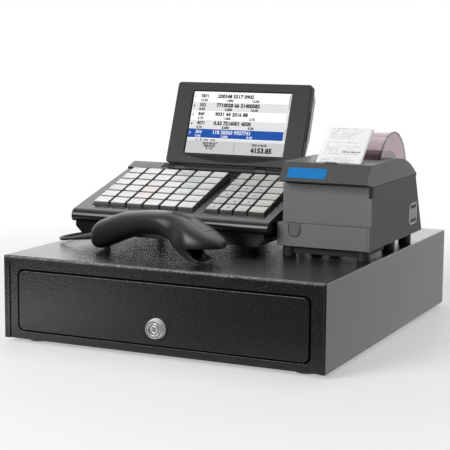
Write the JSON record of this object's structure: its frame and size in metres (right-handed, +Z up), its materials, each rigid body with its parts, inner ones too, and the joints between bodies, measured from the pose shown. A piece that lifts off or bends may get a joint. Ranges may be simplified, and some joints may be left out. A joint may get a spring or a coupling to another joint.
{
  "type": "ticket register",
  "caption": "Counter till set: steel cash drawer carrying a keyboard terminal with tilting display, a receipt printer and a hand-held scanner.",
  "frame": {"origin": "centre of the bounding box's bottom face, on the counter under the drawer's feet", "axes": "+X to the right seen from the front, +Y to the back, +Z up; the drawer opens towards -Y"},
  "size_m": [0.41, 0.4592, 0.3013],
  "materials": {
    "powder_coat": "fine-texture black powder coat, semi-gloss",
    "zinc": "zinc plated",
    "lock_chrome": "polished",
    "foot_rubber": "matte",
    "insert_plastic": "matte",
    "terminal_plastic": "satin",
    "key_plastic": "satin",
    "switch_plastic": "matte",
    "board": "solder mask",
    "screen": "satin",
    "rear_plastic": "satin",
    "printer_plastic": "satin",
    "dome_smoke": "clear smoked violet",
    "paper": "uncoated thermal paper",
    "head_metal": "satin",
    "control_plastic": "satin",
    "scanner_plastic": "satin",
    "window_glass": "polished"
  },
  "bodies": {
    "case": {"case_cover": "powder_coat", "case_front_frame": "powder_coat", "case_base": "powder_coat", "case_feet": "foot_rubber", "case_screws": "zinc", "slide_outer": "zinc", "latch_solenoid": "zinc", "terminal_lower_case": "terminal_plastic", "terminal_upper_case": "terminal_plastic", "terminal_feet": "foot_rubber", "key_plate": "switch_plastic", "main_board": "board", "hinge_brackets": "terminal_plastic", "printer_base": "printer_plastic", "printer_body": "printer_plastic", "print_head": "head_metal", "printer_feet": "foot_rubber", "scanner_upper_shell": "scanner_plastic", "scanner_lower_shell": "scanner_plastic", "scanner_window": "window_glass", "strain_relief": "foot_rubber", "scanner_cord": "foot_rubber", "scanner_cord_coil": "foot_rubber", "scanner_plug": "foot_rubber"},
    "drawer": {"drawer_front": "powder_coat", "drawer_tray": "powder_coat", "lock_body": "lock_chrome", "slide_inner": "zinc", "till_insert": "insert_plastic"},
    "slide_middle": {"slide_middle": "zinc"},
    "lock_plug": {"lock_plug": "lock_chrome"},
    "latch_lever": {"latch_lever": "zinc"},
    "display": {"display_bezel": "terminal_plastic", "display_panel": "screen", "display_rear_cover": "rear_plastic"},
    "printer_cover": {"printer_cover": "printer_plastic", "receipt_strip": "paper"},
    "roll_dome": {"roll_dome": "dome_smoke"},
    "platen_roller": {"platen_roller": "foot_rubber"},
    "paper_roll": {"paper_roll": "paper"},
    "feed_button": {"feed_button": "control_plastic"},
    "power_switch": {"power_switch": "control_plastic"},
    "scanner_trigger": {"scanner_trigger": "scanner_plastic"},
    "left_key_row_1": {"left_key_row_1": "key_plastic"},
    "left_key_row_2": {"left_key_row_2": "key_plastic"},
    "left_key_row_3": {"left_key_row_3": "key_plastic"},
    "left_key_row_4": {"left_key_row_4": "key_plastic"},
    "left_key_row_5": {"left_key_row_5": "key_plastic"},
    "left_key_row_6": {"left_key_row_6": "key_plastic"},
    "right_key_row_1": {"right_key_row_1": "key_plastic"},
    "right_key_row_2": {"right_key_row_2": "key_plastic"},
    "right_key_row_3": {"right_key_row_3": "key_plastic"},
    "right_key_row_4": {"right_key_row_4": "key_plastic"},
    "right_key_row_5": {"right_key_row_5": "key_plastic"},
    "right_key_row_6": {"right_key_row_6": "key_plastic"},
    "note_clip_1": {"note_clip_1": "insert_plastic"},
    "note_clip_2": {"note_clip_2": "insert_plastic"},
    "note_clip_3": {"note_clip_3": "insert_plastic"},
    "note_clip_4": {"note_clip_4": "insert_plastic"},
    "note_clip_5": {"note_clip_5": "insert_plastic"}
  },
  "joints": [
    {"name": "drawer_slide", "type": "slide", "parent": "case", "child": "drawer", "axis": [0, -1, 0], "range_m": [0, 0.32]},
    {"name": "slide_extend", "type": "slide", "parent": "case", "child": "slide_middle", "axis": [0, -1, 0], "range_m": [0, 0.16]},
    {"name": "lock_turn", "type": "hinge", "parent": "drawer", "child": "lock_plug", "pos_m": [0, -0.2226, 0.036], "axis": [0, 1, 0], "range_deg": [0, 90]},
    {"name": "note_clip_1_lift", "type": "hinge", "parent": "drawer", "child": "note_clip_1", "pos_m": [-0.1376, 0.1699, 0.065], "axis": [-1, 0, 0], "range_deg": [0, 38], "stiffness_Nm_per_rad": 0.02, "springref_deg": -11.46},
    {"name": "note_clip_2_lift", "type": "hinge", "parent": "drawer", "child": "note_clip_2", "pos_m": [-0.0688, 0.1699, 0.065], "axis": [-1, 0, 0], "range_deg": [0, 38], "stiffness_Nm_per_rad": 0.02, "springref_deg": -11.46},
    {"name": "note_clip_3_lift", "type": "hinge", "parent": "drawer", "child": "note_clip_3", "pos_m": [0, 0.1699, 0.065], "axis": [-1, 0, 0], "range_deg": [0, 38], "stiffness_Nm_per_rad": 0.02, "springref_deg": -11.46},
    {"name": "note_clip_4_lift", "type": "hinge", "parent": "drawer", "child": "note_clip_4", "pos_m": [0.0688, 0.1699, 0.065], "axis": [-1, 0, 0], "range_deg": [0, 38], "stiffness_Nm_per_rad": 0.02, "springref_deg": -11.46},
    {"name": "note_clip_5_lift", "type": "hinge", "parent": "drawer", "child": "note_clip_5", "pos_m": [0.1376, 0.1699, 0.065], "axis": [-1, 0, 0], "range_deg": [0, 38], "stiffness_Nm_per_rad": 0.02, "springref_deg": -11.46},
    {"name": "latch_drop", "type": "hinge", "parent": "case", "child": "latch_lever", "pos_m": [0, 0.2044, 0.057], "axis": [1, 0, 0], "range_deg": [0, 20], "stiffness_Nm_per_rad": 0.02, "springref_deg": -14.32},
    {"name": "display_tilt", "type": "hinge", "parent": "case", "child": "display", "pos_m": [-0.14, 0.07155, 0.18707], "axis": [-1, 0, 0], "range_deg": [-10, 30]},
    {"name": "left_key_row_1_press", "type": "slide", "parent": "case", "child": "left_key_row_1", "axis": [0, 0.3024, -0.9532], "range_m": [0, 0.0035], "stiffness_N_per_m": 500, "springref_m": -0.003},
    {"name": "left_key_row_2_press", "type": "slide", "parent": "case", "child": "left_key_row_2", "axis": [0, 0.3024, -0.9532], "range_m": [0, 0.0035], "stiffness_N_per_m": 500, "springref_m": -0.003},
    {"name": "left_key_row_3_press", "type": "slide", "parent": "case", "child": "left_key_row_3", "axis": [0, 0.3024, -0.9532], "range_m": [0, 0.0035], "stiffness_N_per_m": 500, "springref_m": -0.003},
    {"name": "left_key_row_4_press", "type": "slide", "parent": "case", "child": "left_key_row_4", "axis": [0, 0.3024, -0.9532], "range_m": [0, 0.0035], "stiffness_N_per_m": 500, "springref_m": -0.003},
    {"name": "left_key_row_5_press", "type": "slide", "parent": "case", "child": "left_key_row_5", "axis": [0, 0.3024, -0.9532], "range_m": [0, 0.0035], "stiffness_N_per_m": 500, "springref_m": -0.003},
    {"name": "left_key_row_6_press", "type": "slide", "parent": "case", "child": "left_key_row_6", "axis": [0, 0.3024, -0.9532], "range_m": [0, 0.0035], "stiffness_N_per_m": 500, "springref_m": -0.003},
    {"name": "right_key_row_1_press", "type": "slide", "parent": "case", "child": "right_key_row_1", "axis": [0, 0.3024, -0.9532], "range_m": [0, 0.0035], "stiffness_N_per_m": 500, "springref_m": -0.003},
    {"name": "right_key_row_2_press", "type": "slide", "parent": "case", "child": "right_key_row_2", "axis": [0, 0.3024, -0.9532], "range_m": [0, 0.0035], "stiffness_N_per_m": 500, "springref_m": -0.003},
    {"name": "right_key_row_3_press", "type": "slide", "parent": "case", "child": "right_key_row_3", "axis": [0, 0.3024, -0.9532], "range_m": [0, 0.0035], "stiffness_N_per_m": 500, "springref_m": -0.003},
    {"name": "right_key_row_4_press", "type": "slide", "parent": "case", "child": "right_key_row_4", "axis": [0, 0.3024, -0.9532], "range_m": [0, 0.0035], "stiffness_N_per_m": 500, "springref_m": -0.003},
    {"name": "right_key_row_5_press", "type": "slide", "parent": "case", "child": "right_key_row_5", "axis": [0, 0.3024, -0.9532], "range_m": [0, 0.0035], "stiffness_N_per_m": 500, "springref_m": -0.003},
    {"name": "right_key_row_6_press", "type": "slide", "parent": "case", "child": "right_key_row_6", "axis": [0, 0.3024, -0.9532], "range_m": [0, 0.0035], "stiffness_N_per_m": 500, "springref_m": -0.003},
    {"name": "printer_cover_open", "type": "hinge", "parent": "case", "child": "printer_cover", "pos_m": [0.0835, 0.10319, 0.1921], "axis": [-1, 0, 0], "range_deg": [0, 55]},
    {"name": "roll_dome_open", "type": "hinge", "parent": "printer_cover", "child": "roll_dome", "pos_m": [0.12, 0.0914, 0.196], "axis": [-1, 0, 0], "range_deg": [0, 40]},
    {"name": "platen_spin", "type": "hinge", "parent": "printer_cover", "child": "platen_roller", "pos_m": [0.121, -0.0406, 0.201], "axis": [-1, 0, 0], "continuous": true},
    {"name": "paper_spin", "type": "hinge", "parent": "case", "child": "paper_roll", "pos_m": [0.121, 0.0494, 0.189], "axis": [-1, 0, 0], "continuous": true},
    {"name": "feed_press", "type": "slide", "parent": "case", "child": "feed_button", "axis": [0, 1, 0], "range_m": [0, 0.0015], "stiffness_N_per_m": 500, "springref_m": -0.001},
    {"name": "power_rock", "type": "hinge", "parent": "case", "child": "power_switch", "pos_m": [0.196, 0.0954, 0.143], "axis": [0, 1, 0], "range_deg": [-8, 8]},
    {"name": "trigger_press", "type": "slide", "parent": "case", "child": "scanner_trigger", "axis": [0, 0, -1], "range_m": [0, 0.0018], "stiffness_N_per_m": 500, "springref_m": -0.001}
  ],
  "couplings": [
    {"joint": "slide_extend", "follows": "drawer_slide", "ratio": 0.5}
  ]
}
